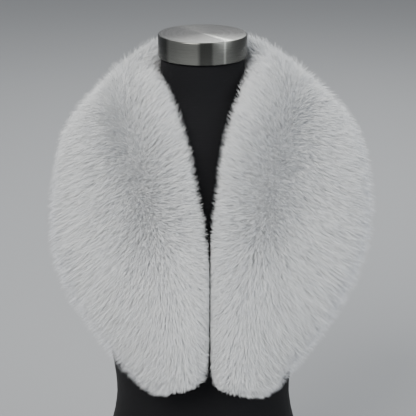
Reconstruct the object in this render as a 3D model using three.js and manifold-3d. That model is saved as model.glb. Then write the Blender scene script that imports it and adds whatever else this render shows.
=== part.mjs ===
import * as THREE from "three";
import { mergeVertices } from "three/addons/utils/BufferGeometryUtils.js";
import Module from "manifold-3d";

// Fur collar wrap worn on a limbless dress form.
// Millimetres, +Z up, the front faces -Y, +X is the right of the picture.
// The origin is the middle of the flat base that the form stands on.
// "drop" is always a distance below the flat top of the steel neck cap.

const capTop = 660;            // height of the cap's flat top above the base
const capRadius = 52.5;        // steel neck cap, 105 mm across
const capHeight = 27;
const capRim = 1.6;            // rounding of the cap's top edge
const capRimSteps = 4;
const capSides = 64;           // flats round the cap
const seatGap = 0.3;           // clearance where two pieces meet
const carveGap = 0.45;         // how far the form is grown before it cuts the fur's underside
const centreGap = 0.6;         // half of the parting between the two front lobes

const formSides = 40;          // points round one section of the form
const formRings = 34;          // sections up the form
const furSides = 22;           // points round one section of the collar
const lobeRings = 46;          // sections along one front lobe
const backRings = 23;          // sections along the stretch behind the neck
const seamShare = 0.2;         // where a lobe meets the back stretch, as a share of one side
const seamStep = 0.01;         // a short way along the collar, to find its direction
const furPower = 2.3;          // roundness of a section: 2 is an ellipse, more is fuller
const tuftReach = 4.5;         // how far locks stand out of the hanging outer edge
const tuftSpacing = 3;         // sections from one lock to the next
const tuftUneven = 0.5;        // how much one lock differs from the next

// The form, from the neck top down: half width, front and back depth, and how square it is
const formTable = [
  { drop: 27.3, halfWidth: 49, front: 49, back: 49, square: 2.0 },
  { drop: 44, halfWidth: 50, front: 50, back: 50, square: 2.0 },
  { drop: 60, halfWidth: 53, front: 52, back: 53, square: 2.0 },
  { drop: 74, halfWidth: 62, front: 56, back: 59, square: 2.0 },
  { drop: 86, halfWidth: 84, front: 62, back: 66, square: 2.0 },
  { drop: 99, halfWidth: 114, front: 69, back: 73, square: 2.1 },
  { drop: 114, halfWidth: 142, front: 76, back: 79, square: 2.2 },
  { drop: 132, halfWidth: 159, front: 83, back: 84, square: 2.3 },
  { drop: 158, halfWidth: 165, front: 91, back: 90, square: 2.4 },
  { drop: 195, halfWidth: 161, front: 102, back: 95, square: 2.4 },
  { drop: 235, halfWidth: 152, front: 113, back: 96, square: 2.4 },
  { drop: 270, halfWidth: 145, front: 116, back: 93, square: 2.4 },
  { drop: 310, halfWidth: 137, front: 107, back: 88, square: 2.3 },
  { drop: 360, halfWidth: 125, front: 95, back: 83, square: 2.3 },
  { drop: 420, halfWidth: 113, front: 88, back: 81, square: 2.2 },
  { drop: 470, halfWidth: 110, front: 87, back: 82, square: 2.2 },
  { drop: 530, halfWidth: 124, front: 93, back: 92, square: 2.2 },
  { drop: 600, halfWidth: 146, front: 102, back: 104, square: 2.2 },
  { drop: 660, halfWidth: 157, front: 107, back: 110, square: 2.2 },
];

// One side of the collar, from the back of the neck to the front hem, at the tips of the fur.
// The near edge lies by the neck and the front opening, the far edge over shoulder and chest.
// "pile" is the depth of fur over the line between them, "under" the depth below it.
const collarTable = [
  { nearX: 0, nearY: 61, nearDrop: 10, farX: 0, farY: 134, farDrop: 192, pile: 32, under: 34 },
  { nearX: 34, nearY: 53, nearDrop: 10, farX: 84, farY: 122, farDrop: 182, pile: 32, under: 36 },
  { nearX: 54, nearY: 33, nearDrop: 18, farX: 149, farY: 78, farDrop: 156, pile: 32, under: 39 },
  { nearX: 57, nearY: 8, nearDrop: 29, farX: 180, farY: 24, farDrop: 144, pile: 32, under: 41 },
  { nearX: 52, nearY: -23, nearDrop: 39, farX: 191, farY: -14, farDrop: 158, pile: 30, under: 39 },
  { nearX: 40, nearY: -51, nearDrop: 55, farX: 196, farY: -36, farDrop: 187, pile: 28, under: 36 },
  { nearX: 27, nearY: -74, nearDrop: 82, farX: 196, farY: -50, farDrop: 218, pile: 28, under: 34 },
  { nearX: 15, nearY: -94, nearDrop: 118, farX: 190, farY: -60, farDrop: 250, pile: 28, under: 33 },
  { nearX: 8, nearY: -110, nearDrop: 160, farX: 178, farY: -70, farDrop: 281, pile: 28, under: 32 },
  { nearX: 1, nearY: -122, nearDrop: 205, farX: 162, farY: -80, farDrop: 308, pile: 27, under: 31 },
  { nearX: -3, nearY: -128, nearDrop: 255, farX: 143, farY: -90, farDrop: 334, pile: 26, under: 30 },
  { nearX: -3, nearY: -128, nearDrop: 305, farX: 121, farY: -99, farDrop: 360, pile: 24, under: 28 },
  { nearX: -2, nearY: -124, nearDrop: 350, farX: 99, farY: -106, farDrop: 386, pile: 22, under: 25 },
  { nearX: 3, nearY: -120, nearDrop: 390, farX: 78, farY: -110, farDrop: 410, pile: 18, under: 20 },
  { nearX: 16, nearY: -117, nearDrop: 412, farX: 58, farY: -113, farDrop: 424, pile: 10, under: 11 },
];

// How the left side differs at the same places: how much nearer the middle its far edge comes,
// how much further its near edge stays from it, and how much lower it lies
const leftTable = [
  { farIn: 0, nearOut: 0, lower: 0 },
  { farIn: 5, nearOut: 0, lower: 3 },
  { farIn: 12, nearOut: 0, lower: 8 },
  { farIn: 18, nearOut: 0, lower: 9 },
  { farIn: 20, nearOut: -1, lower: 6 },
  { farIn: 19, nearOut: 1, lower: 2 },
  { farIn: 16, nearOut: 4, lower: -1 },
  { farIn: 12, nearOut: 6, lower: -3 },
  { farIn: 9, nearOut: 5, lower: -4 },
  { farIn: 7, nearOut: 3, lower: -4 },
  { farIn: 6, nearOut: 0, lower: -5 },
  { farIn: 4, nearOut: 0, lower: -5 },
  { farIn: 3, nearOut: 0, lower: -6 },
  { farIn: 3, nearOut: 0, lower: -7 },
  { farIn: 2, nearOut: 0, lower: -8 },
];

const furColour = 0xdcdedb;
const coverColour = 0x15161a;
const steelColour = 0x9b9c94;

const furMaterial = new THREE.MeshStandardMaterial({ color: furColour, roughness: 0.95, metalness: 0 });
const coverMaterial = new THREE.MeshStandardMaterial({ color: coverColour, roughness: 0.85, metalness: 0 });
const steelMaterial = new THREE.MeshStandardMaterial({ color: steelColour, roughness: 0.32, metalness: 1 });

const wasm = await Module();
wasm.setup();

// A value between two neighbours of a list, on a smooth curve through all of them
function smoothThrough(values, share) {
  const place = Math.min(Math.max(share, 0), 1) * (values.length - 1);
  const step = Math.min(Math.floor(place), values.length - 2);
  const t = place - step;
  const at = (i) => values[Math.min(Math.max(i, 0), values.length - 1)];
  const [before, from, to, after] = [at(step - 1), at(step), at(step + 1), at(step + 2)];
  const slopeIn = (to - before) / 2;
  const slopeOut = (after - from) / 2;
  const rise = 3 * (to - from) - 2 * slopeIn - slopeOut;
  const fall = 2 * (from - to) + slopeIn + slopeOut;
  return from + t * (slopeIn + t * (rise + t * fall));
}

// One row read from a table at any share of its length, every column on its own smooth curve
function rowAt(table, share) {
  const row = {};
  for (const column of Object.keys(table[0])) {
    row[column] = smoothThrough(table.map((entry) => entry[column]), share);
  }
  return row;
}

// A closed body through rings of points: quads between neighbours, a fan on each end.
// The rings run anticlockwise as seen from the far end, so that the faces point out.
function loftRings(rings) {
  const sides = rings[0].length;
  const positions = rings.flat().flatMap((p) => [p.x, p.y, p.z]);
  const faces = [];
  for (let r = 0; r + 1 < rings.length; r++) {
    for (let k = 0; k < sides; k++) {
      const a = r * sides + k;
      const b = r * sides + ((k + 1) % sides);
      faces.push(a, b, a + sides, b, b + sides, a + sides);
    }
  }
  const ends = [
    { ring: 0, turn: 1 },
    { ring: rings.length - 1, turn: -1 },
  ];
  for (const { ring, turn } of ends) {
    const middle = new THREE.Vector3();
    rings[ring].forEach((p) => middle.addScaledVector(p, 1 / sides));
    const centre = positions.length / 3;
    positions.push(middle.x, middle.y, middle.z);
    for (let k = 0; k < sides; k++) {
      const a = ring * sides + k;
      const b = ring * sides + ((k + 1) % sides);
      faces.push(...(turn > 0 ? [centre, b, a] : [centre, a, b]));
    }
  }
  const geometry = new THREE.BufferGeometry();
  geometry.setAttribute("position", new THREE.Float32BufferAttribute(positions, 3));
  geometry.setIndex(faces);
  return geometry;
}

// The dress form: superellipse sections stacked from the flat base up to the neck top
function formGeometry() {
  const lastDrop = formTable[formTable.length - 1].drop;
  const rings = [];
  for (let r = 0; r <= formRings; r++) {
    const row = rowAt(formTable, 1 - r / formRings);
    const ring = [];
    for (let k = 0; k < formSides; k++) {
      const angle = (2 * Math.PI * k) / formSides;
      const power = 2 / row.square;
      const across = Math.sign(Math.cos(angle)) * Math.abs(Math.cos(angle)) ** power;
      const along = Math.sign(Math.sin(angle)) * Math.abs(Math.sin(angle)) ** power;
      const depth = along < 0 ? row.front : row.back;
      ring.push(new THREE.Vector3(across * row.halfWidth, along * depth, lastDrop - row.drop));
    }
    rings.push(ring);
  }
  return loftRings(rings);
}

// The form grown outwards, which cuts the underside of the fur to fit it
function grownForm(geometry) {
  const grown = geometry.clone();
  grown.computeVertexNormals();
  const places = grown.attributes.position;
  const normals = grown.attributes.normal;
  for (let i = 0; i < places.count; i++) {
    places.setXYZ(
      i,
      places.getX(i) + normals.getX(i) * carveGap,
      places.getY(i) + normals.getY(i) * carveGap,
      places.getZ(i) + normals.getZ(i) * carveGap,
    );
  }
  return grown;
}

function solidOf(geometry) {
  const bare = geometry.clone();
  bare.deleteAttribute("normal");
  bare.deleteAttribute("uv");
  const merged = mergeVertices(bare);
  return new wasm.Manifold(new wasm.Mesh({
    numProp: 3,
    vertProperties: new Float32Array(merged.attributes.position.array),
    triVerts: new Uint32Array(merged.index.array),
  }));
}

function geometryOf(solid) {
  const mesh = solid.getMesh();
  const geometry = new THREE.BufferGeometry();
  geometry.setAttribute("position", new THREE.BufferAttribute(new Float32Array(mesh.vertProperties), 3));
  geometry.setIndex(new THREE.BufferAttribute(new Uint32Array(mesh.triVerts), 1));
  return geometry;
}

// The two edges of the collar at a place along it: -1 is the left hem, 0 the back, 1 the right hem
function edgesAt(place) {
  const row = rowAt(collarTable, Math.abs(place));
  const { nearX, nearY, nearDrop, farX, farY, farDrop, pile, under } = row;
  if (place >= 0) {
    return {
      near: new THREE.Vector3(nearX, nearY, capTop - nearDrop),
      far: new THREE.Vector3(farX, farY, capTop - farDrop),
      pile,
      under,
    };
  }
  const { farIn, nearOut, lower } = rowAt(leftTable, -place);
  return {
    near: new THREE.Vector3(-nearX - nearOut, nearY, capTop - nearDrop - lower),
    far: new THREE.Vector3(farIn - farX, farY, capTop - farDrop - lower),
    pile,
    under,
  };
}

// One section of the collar, a rounded cushion across the line from the near to the far edge
function collarSection(place, tuft) {
  const here = edgesAt(place);
  const ahead = edgesAt(Math.min(place + seamStep, 1));
  const behind = edgesAt(Math.max(place - seamStep, -1));
  const middle = here.near.clone().add(here.far).multiplyScalar(0.5);
  const half = here.far.clone().sub(here.near).multiplyScalar(0.5);
  const travel = ahead.near.clone().add(ahead.far).sub(behind.near).sub(behind.far);
  const outward = new THREE.Vector3().crossVectors(travel, half).normalize();
  const ring = [];
  for (let k = 0; k < furSides; k++) {
    const angle = (2 * Math.PI * k) / furSides;
    const power = 2 / furPower;
    const across = Math.sign(Math.cos(angle)) * Math.abs(Math.cos(angle)) ** power;
    const up = Math.sign(Math.sin(angle)) * Math.abs(Math.sin(angle)) ** power;
    const reach = across > 0 ? 1 + (tuft * across) / half.length() : 1;
    const depth = up > 0 ? here.pile : here.under;
    const point = middle.clone().addScaledVector(half, across * reach);
    point.addScaledVector(outward, up * depth);
    ring.push(point);
  }
  return ring;
}

// The ring that ends a stretch at a seam, drawn back from the seam by half of the gap
function seamRing(side, direction) {
  const ring = collarSection(side * seamShare, 0);
  const further = collarSection(side * (seamShare + seamStep), 0);
  const along = new THREE.Vector3();
  ring.forEach((point, k) => along.add(further[k]).sub(point));
  along.normalize();
  return ring.map((point) => point.clone().addScaledVector(along, (direction * seatGap) / 2));
}

// The stretch round the back of the neck, from seam to seam
function collarBack() {
  const rings = [];
  for (let r = 0; r <= backRings; r++) {
    const place = seamShare * ((2 * r) / backRings - 1);
    if (r === 0) rings.push(seamRing(-1, -1));
    else if (r === backRings) rings.push(seamRing(1, -1));
    else rings.push(collarSection(place, 0));
  }
  return geometryOf(solidOf(loftRings(rings)).subtract(standCutter));
}

// A front lobe, from the seam on the shoulder to the hem, with locks along its hanging edge
function collarLobe(side) {
  const rings = [seamRing(side, 1)];
  for (let r = 1; r <= lobeRings; r++) {
    const share = r / lobeRings;
    const uneven = 1 + tuftUneven * Math.sin(r * side + side);
    const lock = r % tuftSpacing === 1 ? tuftReach * uneven : -tuftReach / 2;
    rings.push(collarSection(side * (seamShare + (1 - seamShare) * share), lock * Math.sqrt(share)));
  }
  if (side < 0) rings.reverse();
  const whole = solidOf(loftRings(rings));
  return geometryOf(whole.subtract(standCutter).subtract(sideCutter(side)));
}

function capGeometry() {
  const profile = [new THREE.Vector2(0, capTop - capHeight)];
  profile.push(new THREE.Vector2(capRadius, capTop - capHeight));
  for (let i = 0; i <= capRimSteps; i++) {
    const angle = (Math.PI / 2) * (i / capRimSteps);
    profile.push(new THREE.Vector2(
      capRadius - capRim + capRim * Math.cos(angle),
      capTop - capRim + capRim * Math.sin(angle),
    ));
  }
  profile.push(new THREE.Vector2(0, capTop));
  const geometry = new THREE.LatheGeometry(profile, capSides);
  geometry.rotateX(Math.PI / 2);
  return geometry;
}

// A block on one side of the front parting, which keeps a lobe on its own side of it
function sideCutter(side) {
  const block = new THREE.BoxGeometry(capTop, capTop, capTop);
  block.translate((-side * capTop) / 2 + side * centreGap, -capTop / 2, capTop / 2);
  return solidOf(block);
}

// The space of the neck cap, a little larger than the cap, which the fur stays out of
function capSpace() {
  const radius = capRadius + carveGap;
  const space = new THREE.CylinderGeometry(radius, radius, 2 * capHeight, capSides);
  space.rotateX(Math.PI / 2);
  space.translate(0, 0, capTop);
  return solidOf(space);
}

const form = formGeometry();
const standCutter = solidOf(grownForm(form)).add(capSpace());

const group = new THREE.Group();

function addPiece(name, geometry, material) {
  const mesh = new THREE.Mesh(geometry, material);
  mesh.name = name;
  group.add(mesh);
}

addPiece("form_body", form, coverMaterial);
addPiece("neck_cap", capGeometry(), steelMaterial);
addPiece("collar_back", collarBack(), furMaterial);
addPiece("collar_left", collarLobe(-1), furMaterial);
addPiece("collar_right", collarLobe(1), furMaterial);

export default group;
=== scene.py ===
import math

import bmesh
import bpy
import numpy as np
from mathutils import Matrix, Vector
from mathutils.bvhtree import BVHTree
from mathutils.kdtree import KDTree


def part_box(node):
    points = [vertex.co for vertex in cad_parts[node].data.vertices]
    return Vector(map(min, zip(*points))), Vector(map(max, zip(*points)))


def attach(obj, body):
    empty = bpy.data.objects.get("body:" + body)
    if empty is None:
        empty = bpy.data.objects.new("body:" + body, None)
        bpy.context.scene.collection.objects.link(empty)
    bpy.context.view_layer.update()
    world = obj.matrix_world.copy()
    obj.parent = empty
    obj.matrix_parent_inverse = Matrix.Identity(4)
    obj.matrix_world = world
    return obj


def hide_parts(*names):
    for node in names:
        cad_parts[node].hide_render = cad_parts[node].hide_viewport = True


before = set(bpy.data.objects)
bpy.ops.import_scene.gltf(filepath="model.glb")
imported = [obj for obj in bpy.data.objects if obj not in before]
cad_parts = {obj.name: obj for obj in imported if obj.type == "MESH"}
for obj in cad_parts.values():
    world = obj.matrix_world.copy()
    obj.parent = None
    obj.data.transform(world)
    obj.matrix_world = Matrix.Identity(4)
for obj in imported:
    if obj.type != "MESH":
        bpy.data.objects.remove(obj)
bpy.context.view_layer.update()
mm = 0.001

capLow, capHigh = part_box("neck_cap")
capTop = capHigh.z                                  # every drop below is measured from here
capRadius = (capHigh.x - capLow.x) / 2


# Shader maths: a socket that adds its Math node when a Python operator is used on it
class Shade:
    def __init__(self, tree, socket):
        self.tree = tree
        self.socket = socket

    def calc(self, operation, *values):
        node = self.tree.nodes.new("ShaderNodeMath")
        node.operation = operation
        for slot, value in zip(node.inputs, values):
            if isinstance(value, Shade):
                self.tree.links.new(value.socket, slot)
            else:
                slot.default_value = value
        return Shade(self.tree, node.outputs[0])

    def __add__(self, other):
        return self.calc("ADD", self, other)

    def __radd__(self, other):
        return self.calc("ADD", other, self)

    def __sub__(self, other):
        return self.calc("SUBTRACT", self, other)

    def __rsub__(self, other):
        return self.calc("SUBTRACT", other, self)

    def __mul__(self, other):
        return self.calc("MULTIPLY", self, other)

    def __rmul__(self, other):
        return self.calc("MULTIPLY", other, self)

    def sine(self):
        return self.calc("SINE", self)


# One material: its tree, and one method for any node
class Finish:
    def __init__(self, name, **constants):
        self.material = bpy.data.materials.new(name)
        self.material.use_nodes = True
        self.tree = self.material.node_tree
        self.shader = self.tree.nodes["Principled BSDF"]
        for socket, value in constants.items():
            self.shader.inputs[socket.replace("_", " ")].default_value = value

    def node(self, kind, settings=None, out=0, **inputs):
        made = self.tree.nodes.new(kind)
        for name, value in (settings or {}).items():
            if name == "stops":
                self.setStops(made.color_ramp, value)
            else:
                setattr(made, name, value)
        for name, value in inputs.items():
            slot = self.slotOf(made, name)
            if isinstance(value, Shade):
                self.tree.links.new(value.socket, slot)
            else:
                slot.default_value = value
        return Shade(self.tree, made.outputs[out])

    def also(self, value, out):                     # another output of the node that a value comes from
        return Shade(self.tree, value.socket.node.outputs[out])

    def slotOf(self, made, name):
        if name[0] == "i" and name[1:].isdigit():   # i6 is the input numbered 6
            return made.inputs[int(name[1:])]
        return made.inputs[name.replace("_", " ")]

    def setStops(self, ramp, stops):
        while len(ramp.elements) < len(stops):
            ramp.elements.new(1.0)
        for element, (place, colour) in zip(ramp.elements, stops):
            element.position = place
            element.color = (*colour, 1.0)

    def mix(self, share, a, b):
        return self.node("ShaderNodeMix", dict(data_type="RGBA"), out=2, i0=share, i6=a, i7=b)

    def feed(self, socket, value):
        self.tree.links.new(value.socket, self.shader.inputs[socket])

    def bump(self, height, strength, distance):
        made = self.node("ShaderNodeBump", Height=height, Strength=strength, Distance=distance)
        self.feed("Normal", made)


def tone(r, g, b):
    return (r, g, b, 1.0)


# The fur. Its own map holds, for each hair, across how much cool tint it takes, partly tone that varies
# at random and partly painted shade at the fur's far edges, and root to tip upwards
furLook = dict(
    root=(0.76, 0.77, 0.79),
    body=(0.88, 0.89, 0.875),
    tip=(0.96, 0.965, 0.95),
    # a cool, darker tint: tone that varies at random, and painted shade at the fur's far edges
    coolTintAndShade=(0.70, 0.73, 0.84),
    coolShare=0.7,
    roughness=0.6,
)


def furFinish():
    look = furLook
    made = Finish("white_fur", Roughness=look["roughness"], Sheen_Weight=0.2)
    place = made.node("ShaderNodeUVMap", dict(uv_map="OFBake"))
    across = made.node("ShaderNodeSeparateXYZ", Vector=place)
    along = made.also(across, 1)
    stops = [(0.0, look["root"]), (0.45, look["body"]), (1.0, look["tip"])]
    length = made.node("ShaderNodeValToRGB", dict(stops=stops), Fac=along)
    # the cool tint multiplied in by the map's across: random tone, and painted shade at the far edges
    tintedAndShaded = made.node(
        "ShaderNodeMix", dict(data_type="RGBA", blend_type="MULTIPLY"), out=2,
        i0=across * look["coolShare"], i6=length, i7=tone(*look["coolTintAndShade"]),
    )
    made.feed("Base Color", tintedAndShaded)
    return made.material


def underfurFinish():
    made = Finish("underfur", Roughness=0.9, Sheen_Weight=0.3)
    place = made.node("ShaderNodeTexCoord", out=3)
    fine = made.node("ShaderNodeTexNoise", Vector=place, Scale=900.0, Detail=4.0, Roughness=0.7)
    soft = made.node("ShaderNodeTexNoise", Vector=place, Scale=60.0, Detail=3.0)
    made.feed("Base Color", made.mix(soft, tone(0.74, 0.75, 0.77), tone(0.86, 0.87, 0.86)))
    made.bump(fine, 0.8, 0.002)
    return made.material


def peltFinish():
    made = Finish("pelt_suede", Roughness=0.85, Sheen_Weight=0.2)
    place = made.node("ShaderNodeTexCoord", out=3)
    nap = made.node("ShaderNodeTexNoise", Vector=place, Scale=1400.0, Detail=5.0, Roughness=0.65)
    patch = made.node("ShaderNodeTexNoise", Vector=place, Scale=28.0, Detail=3.0)
    made.feed("Base Color", made.mix(patch, tone(0.72, 0.69, 0.64), tone(0.84, 0.82, 0.77)))
    made.bump(nap, 0.35, 0.0006)
    return made.material


def jerseyFinish():
    made = Finish("black_jersey", Roughness=0.85, Sheen_Weight=0.03, Specular_IOR_Level=0.12)
    place = made.node("ShaderNodeTexCoord", out=3)
    ribs = made.node(
        "ShaderNodeTexWave", dict(wave_type="BANDS", bands_direction="Z"), out=1,
        Vector=place, Scale=190.0, Distortion=1.6, Detail=2.0, Detail_Scale=9.0,
    )
    fuzz = made.node("ShaderNodeTexNoise", Vector=place, Scale=2200.0, Detail=3.0)
    patch = made.node("ShaderNodeTexNoise", Vector=place, Scale=14.0, Detail=4.0)
    dark = made.mix(patch, tone(0.004, 0.0042, 0.005), tone(0.009, 0.0092, 0.0105))
    made.feed("Base Color", made.mix(fuzz * 0.5, dark, tone(0.018, 0.018, 0.020)))
    made.bump(ribs * 0.5 + fuzz * 0.5, 0.5, 0.0005)
    return made.material


# The cap's steel, with light and dark streaks of painted reflection and painted highlight round it: a
# share of a turn and a tone, from behind by the left and the front
steelLook = dict(
    tint=(1.0, 1.01, 0.93),
    # side: painted reflections, upright bands of studio light and shade, the brightest just right of the
    # front
    side=(
        (0.25, 0.06), (0.34, 0.08), (0.36, 0.30), (0.47, 0.34), (0.484, 0.10), (0.52, 0.11),
        (0.53, 0.28), (0.565, 0.26), (0.571, 0.60), (0.577, 0.25), (0.63, 0.19), (0.75, 0.10),
    ),
    # top: painted highlight and painted shade, wedges of the turned top, the brightest just right of the
    # front
    top=(
        (0.0, 0.10), (0.07, 0.17), (0.12, 0.05), (0.30, 0.05), (0.40, 0.10), (0.50, 0.14), (0.57, 0.18),
        (0.594, 0.80), (0.62, 0.18), (0.68, 0.12), (0.75, 0.05), (0.90, 0.05), (1.0, 0.10),
    ),
    ringScale=420.0,
    lineScale=900.0,
    lineDark=(0.02, 0.02, 0.02),
)


def steelFinish(name, turned):
    made = Finish(name, Metallic=1.0, Roughness=0.3)
    x = made.node("ShaderNodeSeparateXYZ", Vector=made.node("ShaderNodeTexCoord", out=3))
    y, z = made.also(x, 1), made.also(x, 2)
    radius = made.node("ShaderNodeMath", dict(operation="SQRT"), i0=x * x + y * y)
    run = radius * steelLook["ringScale"] if turned else z * steelLook["lineScale"]
    across = made.node("ShaderNodeCombineXYZ", X=run)
    lines = made.node("ShaderNodeTexNoise", Vector=across, Scale=3.0, Detail=4.0, Roughness=0.7)
    angle = made.node("ShaderNodeMath", dict(operation="ARCTAN2"), i0=x, i1=y * -1.0)
    reflectionTones = steelLook["top"] if turned else steelLook["side"]
    stops = [(spot, tuple(share * part for part in steelLook["tint"])) for spot, share in reflectionTones]
    turn = angle * (0.5 / math.pi) + 0.5
    # painted reflections and highlights, set by the angle round the cap, with darker brushed lines mixed
    # over them
    paintedReflections = made.node("ShaderNodeValToRGB", dict(stops=stops), Fac=turn)
    made.feed("Base Color", made.mix(lines * 0.5, paintedReflections, tone(*steelLook["lineDark"])))
    made.feed("Roughness", lines * 0.16 + 0.2)
    made.bump(lines, 0.3 if turned else 0.2, 0.0004)
    return made.material


# The collar's run from the back of the neck to the hem, at the tips of the fur, in millimetres.
# near is by the neck and the front opening, far is over shoulder and chest, drops are below the cap's top
collar = dict(
    columns=("nearX", "nearY", "nearDrop", "farX", "farY", "farDrop", "pile", "under"),
    rows=(
        (0, 61, 10, 0, 134, 192, 32, 34),
        (34, 53, 10, 84, 122, 182, 32, 36),
        (54, 33, 18, 149, 78, 156, 32, 39),
        (57, 8, 29, 180, 24, 144, 32, 41),
        (52, -23, 39, 191, -14, 158, 30, 39),
        (40, -51, 55, 196, -36, 187, 28, 36),
        (27, -74, 82, 196, -50, 218, 28, 34),
        (15, -94, 118, 190, -60, 250, 28, 33),
        (8, -110, 160, 178, -70, 281, 28, 32),
        (1, -122, 205, 162, -80, 308, 27, 31),
        (-3, -128, 255, 143, -90, 334, 26, 30),
        (-3, -128, 305, 121, -99, 360, 24, 28),
        (-2, -124, 350, 99, -106, 386, 22, 25),
        (3, -120, 390, 78, -110, 410, 18, 20),
        (16, -117, 412, 58, -113, 424, 10, 11),
    ),
    leftColumns=("farIn", "nearOut", "lower"),      # how the left side differs, row by row
    leftRows=(
        (0, 0, 0), (5, 0, 3), (12, 0, 8), (18, 0, 9), (20, -1, 6), (19, 1, 2), (16, 4, -1), (12, 6, -3),
        (9, 5, -4), (7, 3, -4), (6, 0, -5), (4, 0, -5), (3, 0, -6), (3, 0, -7), (2, 0, -8),
    ),
    roundness=2.3,                                  # of a section: 2 is an ellipse, more is fuller
    seam=0.2,                                       # where back and lobe meet, as a share of one side
)


def smoothThrough(values, share):                   # a smooth curve through a list of values
    values = np.asarray(values, float)
    last = len(values) - 1
    place = np.clip(share, 0, 1) * last
    step = np.minimum(place.astype(int), last - 1)
    t = place - step
    before, start = values[np.maximum(step - 1, 0)], values[step]
    end, after = values[step + 1], values[np.minimum(step + 2, last)]
    slopeIn, slopeOut = (end - before) / 2, (after - start) / 2
    rise = 3 * (end - start) - 2 * slopeIn - slopeOut
    fall = 2 * (start - end) + slopeIn + slopeOut
    return start + t * (slopeIn + t * (rise + t * fall))


def readColumns(names, rows, share):
    return {name: smoothThrough([row[i] for row in rows], share) for i, name in enumerate(names)}


def unit(vectors):
    return vectors / np.maximum(np.linalg.norm(vectors, axis=-1, keepdims=True), 1e-12)


def edgesAt(place):                                 # -1 is the left hem, 0 the back, 1 the right hem
    share = np.abs(place)
    row = readColumns(collar["columns"], collar["rows"], share)
    left = readColumns(collar["leftColumns"], collar["leftRows"], share)
    side = np.where(place < 0, -1.0, 1.0)
    onLeft = place < 0
    nearX = side * (row["nearX"] + np.where(onLeft, left["nearOut"], 0))
    farX = side * (row["farX"] - np.where(onLeft, left["farIn"], 0))
    lower = np.where(onLeft, left["lower"], 0)
    near = np.stack([nearX, row["nearY"], capTop / mm - row["nearDrop"] - lower], -1) * mm
    far = np.stack([farX, row["farY"], capTop / mm - row["farDrop"] - lower], -1) * mm
    return near, far, row["pile"] * mm, row["under"] * mm


def sectionsAt(place):                              # middle, half line and outward way of sections
    step = 0.01
    near, far, pile, under = edgesAt(place)
    ahead = edgesAt(np.minimum(place + step, 1))
    behind = edgesAt(np.maximum(place - step, -1))
    travel = ahead[0] + ahead[1] - behind[0] - behind[1]
    half = (far - near) / 2
    return dict(
        middle=(near + far) / 2, half=half, outward=unit(np.cross(travel, half)),
        pile=pile, under=under,
    )


# The form under the collar, to lay the pelt on and keep the hairs out of
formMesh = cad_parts["form_body"].data
formTree = BVHTree.FromPolygons(
    [v.co.copy() for v in formMesh.vertices], [tuple(p.vertices) for p in formMesh.polygons]
)

pelt = dict(
    nearInset=13 * mm,                              # how far inside the tips the pelt's edges lie
    farInset=24 * mm,
    hemInset=0.05,                                  # the same at the hem, as a share of one side
    clear=0.9 * mm,                                 # over the form
    sag=-9 * mm,                                    # where it hangs free, against the line between edges
    thick=1.2 * mm,
    look=0.12,                                      # how far down the form is looked for
    rows=49,
    columns=25,
)


def peltHeights(place, across):                     # how high the pelt lies over each section's line
    sections = sectionsAt(place)
    heights = np.full((len(place), len(across)), pelt["sag"])
    for i in range(len(place)):
        way = Vector(-sections["outward"][i])
        for k, share in enumerate(across):
            top = Vector(sections["middle"][i] + sections["half"][i] * share) - way * sections["pile"][i]
            hit = formTree.ray_cast(top, way, pelt["look"])
            if hit[0] is not None:
                over = (hit[0] - top).length
                heights[i, k] = max(pelt["sag"], sections["pile"][i] - over + pelt["clear"])
    return heights


def spotOn(sections, across, height):               # a place from its share across and its height
    return (
        sections["middle"][:, None]
        + sections["half"][:, None] * across[..., None]
        + sections["outward"][:, None] * height[..., None]
    )


def insideShares(sections):                         # the pelt's two edges as shares of the section
    long = np.linalg.norm(sections["half"], axis=-1)
    near = np.minimum(pelt["nearInset"], 0.45 * long)
    far = np.minimum(pelt["farInset"], 0.45 * long)
    return -1 + near / long, 1 - far / long


stretches = dict(
    collar_left=(-1 + pelt["hemInset"], -collar["seam"]),
    collar_back=(-collar["seam"], collar["seam"]),
    collar_right=(collar["seam"], 1 - pelt["hemInset"]),
)
fullPlaces = np.linspace(-1, 1, 241)
fullAcross = np.linspace(-1.05, 1.05, 61)
fullHeights = peltHeights(fullPlaces, fullAcross)
for i in range(2):                                  # the hide is stiff, so it bridges small dips
    fullHeights[1:-1] = np.maximum(fullHeights[1:-1], (fullHeights[:-2] + fullHeights[2:]) / 2)


def peltLevel(place, across):                       # the pelt's height at any place, from that table
    row = np.interp(place, fullPlaces, np.arange(len(fullPlaces)))
    column = np.interp(across, fullAcross, np.arange(len(fullAcross)))
    r = np.minimum(row.astype(int), len(fullPlaces) - 2)
    c = np.minimum(column.astype(int), len(fullAcross) - 2)
    u, v = row - r, column - c
    low = fullHeights[r, c] * (1 - v) + fullHeights[r, c + 1] * v
    high = fullHeights[r + 1, c] * (1 - v) + fullHeights[r + 1, c + 1] * v
    return low * (1 - u) + high * u


print("fur: the form is measured under the collar")


def addObject(name, mesh, material, smooth=True):
    made = bpy.data.objects.new(name, mesh)
    bpy.context.scene.collection.objects.link(made)
    made.data.materials.append(material)
    if smooth:
        made.data.polygons.foreach_set("use_smooth", [True] * len(made.data.polygons))
    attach(made, "root")
    return made


def gridOf(spots):                                  # a bmesh grid laid over rows of places
    rows, columns = spots.shape[:2]
    bm = bmesh.new()
    bmesh.ops.create_grid(bm, x_segments=columns - 1, y_segments=rows - 1, size=0.5)
    for vert in bm.verts:
        column = round((vert.co.x + 0.5) * (columns - 1))
        row = round((vert.co.y + 0.5) * (rows - 1))
        vert.co = spots[row, column]
    return bm


def meshFrom(bm, name):
    mesh = bpy.data.meshes.new(name)
    bm.to_mesh(mesh)
    bm.free()
    return mesh


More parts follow.
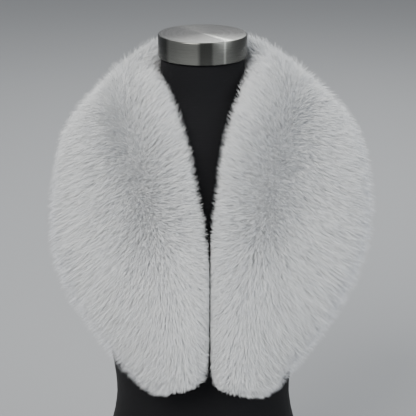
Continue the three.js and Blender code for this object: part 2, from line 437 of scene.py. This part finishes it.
def addPelt(name, start, end, material):
    place = np.linspace(start, end, pelt["rows"])
    sections = sectionsAt(place)
    nearEdge, farEdge = insideShares(sections)
    across = nearEdge[:, None] + (farEdge - nearEdge)[:, None] * np.linspace(0, 1, pelt["columns"])
    height = peltLevel(np.repeat(place[:, None], pelt["columns"], 1), across)
    bm = gridOf(spotOn(sections, across, height))
    bmesh.ops.recalc_face_normals(bm, faces=bm.faces)
    area = sum(face.calc_area() for face in bm.faces)
    bmesh.ops.solidify(bm, geom=bm.faces, thickness=pelt["thick"])
    print(f"pelt {name}: {area:.4f} square metres")
    return addObject(name, meshFrom(bm, name), material)


def superRing(angle):                               # a rounded section's share across and up
    power = 2 / collar["roundness"]
    across = np.sign(np.cos(angle)) * np.abs(np.cos(angle)) ** power
    up = np.sign(np.sin(angle)) * np.abs(np.sin(angle)) ** power
    return across, up


# The dense underfur: a closed body on the pelt, about half as deep as the fur
underfur = dict(depth=0.52, sides=40, rows=64, dip=0.35)


def underfurSpots(place, angle):
    sections = sectionsAt(place)
    nearEdge, farEdge = insideShares(sections)
    ringAcross, ringUp = superRing(angle)
    middle, reach = (nearEdge + farEdge) / 2, (farEdge - nearEdge) / 2
    across = middle[:, None] + reach[:, None] * ringAcross
    floor = peltLevel(np.repeat(place[:, None], len(angle), 1), across) + pelt["thick"] + 0.4 * mm
    top = sections["pile"][:, None] * underfur["depth"] * np.maximum(ringUp, 0)
    low = np.minimum(ringUp, 0) * sections["under"][:, None] * underfur["dip"]
    return spotOn(sections, across, np.maximum(top + low, floor))


def addUnderfur(name, start, end, material):
    place = np.linspace(start, end, underfur["rows"])
    angle = np.linspace(0, 2 * math.pi, underfur["sides"] + 1)
    bm = gridOf(underfurSpots(place, angle))
    bmesh.ops.remove_doubles(bm, verts=bm.verts, dist=0.02 * mm)
    bmesh.ops.holes_fill(bm, edges=[e for e in bm.edges if e.is_boundary], sides=0)
    bmesh.ops.recalc_face_normals(bm, faces=bm.faces)
    return addObject(name, meshFrom(bm, name), material)


# The hairs. Each is a narrow blade from the underfur to the tips' surface. They stand in fine tufts,
# and the tufts in locks. Pairs of values are for the middle of the fur and for its edges.
hairs = dict(
    pieces=dict(collar_left=2, collar_back=1, collar_right=2),
    perPiece=37000,
    seed=21,
    lowAngle=-55.0,                                 # round the far edge, in degrees of a section
    highAngle=232.0,                                # round the near edge
    section=(92, 33),                               # half width and depth of a usual section
    width=(0.36 * mm, 0.66 * mm),
    lie=(0.7, 1.5),                                 # how far a tip lies from its root, against its rise
    stand=0.55,                                     # how much less hairs lie along the edges
    rise=26 * mm,                                   # the most that counts for that
    reach=(0.78, 1.0),                              # of the way to the tips' surface
    longShare=0.14,                                 # of the hairs stand further out, and lie less
    longReach=(1.06, 1.40),
    longLie=0.5,
    pastHem=(0.004, 0.030),                         # how far tips pass the hem, as a share of one side
    stray=(0.003, 0.010),                           # how far tips stray along and across the fur
    bend=(1.5, 1.7),                                # how late a hair leans, and how early it rises
    tuft=3.2 * mm,
    tuftUneven=0.12,
    tuftDraw=(0.4, 0.8),                           # how strongly a tuft draws its tips together
    lock=13 * mm,
    lockDraw=(0.08, 0.42),
    uneven=(0.10, 0.45),                            # how much the locks differ in length
    down=(0.0, 0.0, -0.3, -0.5, -0.45, -0.1, 0.35, 0.8, 1.15, 1.45, 1.6),
    insideDown=0.3,                                 # the least of that in the middle of the fur
    lean=(1.0, 0.9, 0.5),                           # towards the edges, from the neck to the hem
    slant=0.5,                                      # how much of a section's own slope that follows
    coolTintAndShade=0.12,                                      # how much of the cool tint the hairs take, and what varies it: tufts and strays at random, and painted shade at the far edges
    coolTuft=0.35,
    # painted shade: more of the cool, darker tint at the fur's far edges, where shade falls
    paintedEdgeShade=0.45,
    coolStray=0.08,
    gridPlaces=401,
    gridAngles=129,
)


def tipSurface(place, angle):                       # where the tips reach
    sections = sectionsAt(place)
    across, up = superRing(angle)
    depth = np.where(up > 0, sections["pile"][:, None], sections["under"][:, None] * 0.6)
    return spotOn(sections, np.broadcast_to(across, depth.shape), up * depth)


def evenAngles(count):                              # angles an even distance apart round a section
    fine = np.radians(np.linspace(hairs["lowAngle"], hairs["highAngle"], 2000))
    across, up = superRing(fine)
    halfWide, deep = hairs["section"]
    run = np.hypot(np.diff(across * halfWide), np.diff(up * deep)).cumsum()
    run = np.concatenate([[0], run]) / run[-1]
    return np.interp(np.linspace(0, 1, count), run, fine)


gridPlace = np.linspace(-1, 1, hairs["gridPlaces"])
gridAngle = evenAngles(hairs["gridAngles"])
gridTurn = np.linspace(0, 1, hairs["gridAngles"])
tipGrid = tipSurface(gridPlace, gridAngle)
rootGrid = underfurSpots(gridPlace, gridAngle)
slopeDown = np.gradient(tipGrid, gridPlace, axis=0)
slopeAcross = np.gradient(tipGrid, gridTurn, axis=1)
areaGrid = np.linalg.norm(np.cross(slopeDown, slopeAcross), axis=2)


def onGrid(grid, place, turn):                      # a value of a grid anywhere, past its ends too
    row = (place + 1) / 2 * (hairs["gridPlaces"] - 1)
    column = turn * (hairs["gridAngles"] - 1)
    r = np.clip(np.floor(row).astype(int), 0, hairs["gridPlaces"] - 2)
    c = np.clip(np.floor(column).astype(int), 0, hairs["gridAngles"] - 2)
    u, v = (row - r)[:, None], (column - c)[:, None]
    low = grid[r, c] * (1 - v) + grid[r, c + 1] * v
    high = grid[r + 1, c] * (1 - v) + grid[r + 1, c + 1] * v
    return low * (1 - u) + high * u


def combed(place, turn):                            # which way a hair lies, as steps along the grid
    share = np.abs(place)
    lean = superRing(np.interp(turn, gridTurn, gridAngle))[0]
    down = smoothThrough(hairs["down"], share)
    down += np.maximum(hairs["insideDown"] - down, 0) * (1 - np.abs(lean))
    way = unit(sectionsAt(place)["half"])
    way[:, 2] *= hairs["slant"]
    way *= (lean * np.interp(share, [0, 0.6, 1], hairs["lean"]))[:, None]
    way[:, 2] -= down
    along, across = onGrid(slopeDown, place, turn), onGrid(slopeAcross, place, turn)
    aa, ab, bb = (along * along).sum(1), (along * across).sum(1), (across * across).sum(1)
    wa, wb = (way * along).sum(1), (way * across).sum(1)
    det = np.maximum(aa * bb - ab * ab, 1e-12)
    return (bb * wa - ab * wb) / det, (aa * wb - ab * wa) / det


def insideOf(name):                                 # which rows of the grid a stretch covers
    start, end = stretches[name]
    return (gridPlace >= start) & (gridPlace <= end)


def sown(name, count, rng):                         # places spread evenly over a stretch
    weight = np.where(insideOf(name)[:, None], areaGrid, 0)
    rows = weight.sum(1).cumsum()
    row = np.searchsorted(rows, rng.random(count) * rows[-1])
    columns = weight.cumsum(1)
    pick = rng.random(count) * columns[row, -1]
    column = (columns[row] < pick[:, None]).sum(1)
    place = gridPlace[row] + (rng.random(count) - 0.5) * (gridPlace[1] - gridPlace[0])
    turn = (column + rng.random(count) - 0.5) * gridTurn[1]
    return np.clip(place, *stretches[name]), np.clip(turn, 0, 1)


def tuftsOf(name, place, turn, size, rng):          # the middle of the tuft that each hair stands in
    area = areaGrid[insideOf(name)].sum() * (gridPlace[1] - gridPlace[0]) * gridTurn[1]
    count = int(area / size ** 2)
    tuftPlace, tuftTurn = sown(name, count, rng)
    tree = KDTree(count)
    for i, spot in enumerate(onGrid(tipGrid, tuftPlace, tuftTurn)):
        tree.insert(spot, i)
    tree.balance()
    nearest = [tree.find(spot)[1] for spot in onGrid(tipGrid, place, turn)]
    return tuftPlace[nearest], tuftTurn[nearest], rng.random((count, 2))[nearest]


# Where the fur's edges begin: angles of a section, and a share of one side for the hem
edges = dict(farAngle=50, nearAngle=140, nearRun=60, nearShare=0.5, hemPlace=0.78, hemRun=0.2)


def edgeShares(place, turn):                        # 1 at the fur's edges and 0 inside them
    angle = np.degrees(np.interp(turn, gridTurn, gridAngle))
    far = np.clip((edges["farAngle"] - angle) / edges["farAngle"], 0, 1)
    near = np.clip((angle - edges["nearAngle"]) / edges["nearRun"], 0, 1) * edges["nearShare"]
    hem = np.clip((np.abs(place) - edges["hemPlace"]) / edges["hemRun"], 0, 1)
    return far, np.maximum(np.maximum(far, near), hem)


def hairPaths(name, count, rng):
    place, turn = sown(name, count, rng)
    stand = onGrid(tipGrid, place, turn) - onGrid(rootGrid, place, turn)
    stepA, stepB = combed(place, turn)
    far, edge = edgeShares(place, turn)
    tall = rng.random(count) < hairs["longShare"] * (1 + edge)
    lie = rng.uniform(*hairs["lie"], count) * np.minimum(np.linalg.norm(stand, axis=1), hairs["rise"])
    lie *= (1 - hairs["stand"] * edge) * np.where(tall, hairs["longLie"], 1)
    endPlace = place + stepA * lie + rng.normal(0, hairs["stray"][0], count)
    endTurn = turn + stepB * lie + rng.normal(0, hairs["stray"][1], count)
    tuftPlace, tuftTurn, tuftChance = tuftsOf(name, place, turn, hairs["tuft"], rng)
    lockPlace, lockTurn, lockChance = tuftsOf(name, tuftPlace, tuftTurn, hairs["lock"], rng)
    tuftDraw = rng.uniform(*hairs["tuftDraw"], count) * np.where(tall, 0.5, 1)
    lockDraw = np.interp(edge, [0, 1], hairs["lockDraw"])
    for middle, side, draw in ((tuftPlace, tuftTurn, tuftDraw), (lockPlace, lockTurn, lockDraw)):
        wayA, wayB = combed(middle, side)
        endPlace += (middle + wayA * lie - endPlace) * draw
        endTurn += (side + wayB * lie - endTurn) * draw
    uneven = np.interp(edge, [0, 1], hairs["uneven"])
    high = rng.uniform(*hairs["reach"], count)
    high *= 1 + uneven * (lockChance[:, 0] - 0.6) + hairs["tuftUneven"] * (tuftChance[:, 0] - 0.5)
    high = np.where(tall, rng.uniform(*hairs["longReach"], count), high)
    endPlace = np.where(place < 0, np.minimum(endPlace, 0.3), np.maximum(endPlace, -0.3))
    last = 1 + rng.uniform(*hairs["pastHem"], count)
    endPlace = np.clip(endPlace, -last, last)
    spots = []
    leanBend, riseBend = hairs["bend"]
    for t in (0.0, 0.34, 0.68, 1.0):
        along, up = t ** leanBend, (1 - (1 - t) ** riseBend) * high
        a = place + (endPlace - place) * along
        b = np.clip(turn + (endTurn - turn) * along, -0.03, 1.03)
        low, top = onGrid(rootGrid, a, b), onGrid(tipGrid, a, b)
        spots.append(low + (top - low) * up[:, None])
    # painted shade: hairs at the far edges take more of the cool tint; tufts and strays vary it at random
    coolTintAndShade = hairs["coolTintAndShade"] + hairs["coolTuft"] * tuftChance[:, 1] + hairs["paintedEdgeShade"] * far
    coolTintAndShade += rng.normal(0, hairs["coolStray"], count)
    return np.stack(spots, 1), unit(stand), np.clip(coolTintAndShade, 0.02, 0.98), tall


# How far the hairs stay from what they mustn't enter
room = dict(
    cap=0.7 * mm,
    underCap=1 * mm,
    parting=1.4 * mm,
    partingFrom=-60 * mm,                           # the front parting starts here and is full further on
    partingRun=30 * mm,
    form=0.6 * mm,
    formReach=12 * mm,
)


def keptClear(spots, side):                         # out of the form, the cap and the other lobe
    flat = spots.reshape(-1, 3)
    reach = np.hypot(flat[:, 0], flat[:, 1])
    capReach = capRadius + room["cap"]
    byCap = (reach < capReach) & (flat[:, 2] > capLow.z - room["underCap"])
    flat[byCap, :2] *= (capReach / reach[byCap])[:, None]
    if side:
        x = flat[:, 0] * side
        front = np.clip((room["partingFrom"] - flat[:, 1]) / room["partingRun"], 0, 1)
        held = 0.5 * (x + np.sqrt(x * x + 4 * room["parting"] ** 2))
        flat[:, 0] = side * (x + (held - x) * front)
    for i in range(len(flat)):
        spot, normal, index, far = formTree.find_nearest(flat[i], room["formReach"])
        if spot is not None:
            over = (Vector(flat[i]) - spot).dot(normal)
            if over < room["form"]:
                flat[i] = spot + normal * room["form"]
    return flat.reshape(spots.shape)


def bladeMesh(name, spots, facing, coolTintAndShade, wide):     # all hairs of a piece as one mesh, from arrays
    count = len(spots)
    across = unit(np.cross(spots[:, -1] - spots[:, 0], facing))
    taper = np.array([0.8, 1.0, 0.7])
    verts = np.empty((count, 7, 3), np.float32)
    for i in range(3):
        off = across * (wide * taper[i] / 2)[:, None]
        verts[:, 2 * i] = spots[:, i] - off
        verts[:, 2 * i + 1] = spots[:, i] + off
    verts[:, 6] = spots[:, 3]
    first = (np.arange(count) * 7)[:, None]
    quads = np.concatenate([first + [0, 1, 3, 2], first + [2, 3, 5, 4]], 1)
    corners = np.concatenate([quads, first + [4, 5, 6]], 1).ravel()
    starts = (np.arange(count) * 11)[:, None] + [0, 4, 8]
    mesh = bpy.data.meshes.new(name)
    mesh.vertices.add(count * 7)
    mesh.vertices.foreach_set("co", verts.ravel())
    mesh.loops.add(count * 11)
    mesh.loops.foreach_set("vertex_index", corners.astype(np.int32))
    mesh.polygons.add(count * 3)
    mesh.polygons.foreach_set("loop_start", starts.ravel().astype(np.int32))
    mesh.update(calc_edges=True)
    layer = mesh.uv_layers.new(name="OFBake")
    sideways = np.array([-1, 1, 1, -1, -1, 1, 1, -1, -1, 1, 0]) * 0.008
    lengthways = np.array([0.02, 0.02, 0.34, 0.34, 0.34, 0.34, 0.68, 0.68, 0.68, 0.68, 0.98])
    # across the map: each hair's cool tint, with the painted shade of the far edges in it
    across = coolTintAndShade[:, None] * 0.96 + 0.02 + sideways
    along = np.broadcast_to(lengthways, across.shape)
    layer.data.foreach_set("uv", np.stack([across, along], -1).astype(np.float32).ravel())
    return mesh


def addHairs(name, part, side, material):
    rng = np.random.default_rng(hairs["seed"] + part * 10 + (side or 5))
    spots, stand, coolTintAndShade, tall = hairPaths(name, hairs["perPiece"], rng)
    spots = keptClear(spots, side)
    facing = stand + rng.normal(0, 0.35, stand.shape)
    wide = rng.uniform(*hairs["width"], len(spots)) * np.where(tall, 0.75, 1.0)
    label = name.replace("collar", "fur") + f"_{part + 1}"
    return addObject(label, bladeMesh(label, spots, facing, coolTintAndShade, wide), material)


furMaterial, underMaterial, peltMaterial = furFinish(), underfurFinish(), peltFinish()
sides = dict(collar_left=-1, collar_back=0, collar_right=1)
for name, (start, end) in stretches.items():
    hide = addPelt(name.replace("collar", "pelt"), start, end, peltMaterial)
    dense = addUnderfur(name.replace("collar", "underfur"), start, end, underMaterial)
    coats = [addHairs(name, part, sides[name], furMaterial) for part in range(hairs["pieces"][name])]
    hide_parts(name)
    print(f"fur: {name} has its pelt, underfur and hairs")


# The dress form's cover: the form itself made smooth, with sharp rims
def addCover():
    bm = bmesh.new()
    bm.from_mesh(formMesh)
    bmesh.ops.remove_doubles(bm, verts=bm.verts, dist=0.02 * mm)
    crease = bm.edges.layers.float.new("crease_edge")
    for edge in bm.edges:
        if edge.calc_face_angle(0) > math.radians(60):
            edge[crease] = 1.0
    made = addObject("form_cover", meshFrom(bm, "form_cover"), jerseyFinish())
    smooth = made.modifiers.new("smooth", "SUBSURF")
    smooth.levels = smooth.render_levels = 1
    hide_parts("form_body")


# The neck cap: a turned disc with a rounded rim
cap = dict(sides=128, rim=1.6 * mm, rimSteps=5)


def addCap():
    bm = bmesh.new()
    bmesh.ops.create_cone(
        bm, cap_ends=True, segments=cap["sides"], radius1=capRadius, radius2=capRadius,
        depth=capTop - capLow.z,
    )
    bmesh.ops.translate(bm, vec=(0, 0, (capTop + capLow.z) / 2), verts=bm.verts)
    rims = [e for e in bm.edges if abs(e.verts[0].co.z - e.verts[1].co.z) < 0.1 * mm]
    bmesh.ops.bevel(
        bm, geom=rims, offset=cap["rim"], segments=cap["rimSteps"], profile=0.5, affect="EDGES",
        material=-1,
    )
    for face in bm.faces:
        face.material_index = 1 if face.normal.z > 0.9 else 0
    made = addObject("steel_cap", meshFrom(bm, "steel_cap"), steelFinish("steel_side", False))
    made.data.materials.append(steelFinish("steel_turned", True))
    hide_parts("neck_cap")


addCover()
addCap()
print("form: cover and cap are made")


# Floor, light and camera
studio = dict(
    floorSize=14.0, floorColour=(0.40, 0.41, 0.42), worldColour=(0.78, 0.80, 0.83), worldPower=0.5,
)


def addFloor():
    bm = bmesh.new()
    bmesh.ops.create_grid(bm, x_segments=2, y_segments=2, size=studio["floorSize"] / 2)
    mesh = meshFrom(bm, "floor")
    made = bpy.data.objects.new("floor", mesh)
    bpy.context.scene.collection.objects.link(made)
    finish = Finish("floor_paint", Roughness=0.9)
    finish.shader.inputs["Base Color"].default_value = (*studio["floorColour"], 1.0)
    made.data.materials.append(finish.material)


lamps = (                                           # name, place, size, power, colour
    ("key", (-1.3, -1.9, 2.3), 1.8, 85.0, (1.0, 0.98, 0.95)),
    ("fill", (1.9, -1.5, 1.3), 1.8, 28.0, (0.94, 0.97, 1.0)),
    ("back", (0.4, 1.9, 2.2), 1.6, 40.0, (1.0, 1.0, 1.0)),
)


def addLamps():
    for name, place, size, power, colour in lamps:
        data = bpy.data.lights.new(name, "AREA")
        data.shape = "DISK"
        data.size = size
        data.energy = power
        data.color = colour
        made = bpy.data.objects.new(name, data)
        made.location = place
        aim = Vector((0, 0, 0.42)) - Vector(place)
        made.rotation_euler = aim.to_track_quat("-Z", "Y").to_euler()
        bpy.context.scene.collection.objects.link(made)
    world = bpy.data.worlds.new("studio")
    world.use_nodes = True
    sky = world.node_tree.nodes["Background"]
    sky.inputs["Color"].default_value = (*studio["worldColour"], 1.0)
    sky.inputs["Strength"].default_value = studio["worldPower"]
    bpy.context.scene.world = world


view = dict(place=(-0.0982, -1.5735, 1.0013), turn=-3.8, down=19.5, lens=118.3)


def addCamera():
    data = bpy.data.cameras.new("camera")
    data.lens = view["lens"]
    data.sensor_width = 36.0
    made = bpy.data.objects.new("camera", data)
    made.location = view["place"]
    made.rotation_euler = (math.radians(90 - view["down"]), 0, math.radians(view["turn"]))
    bpy.context.scene.collection.objects.link(made)
    bpy.context.scene.camera = made


addFloor()
addLamps()
addCamera()
print("room: floor, lamps and camera are set")
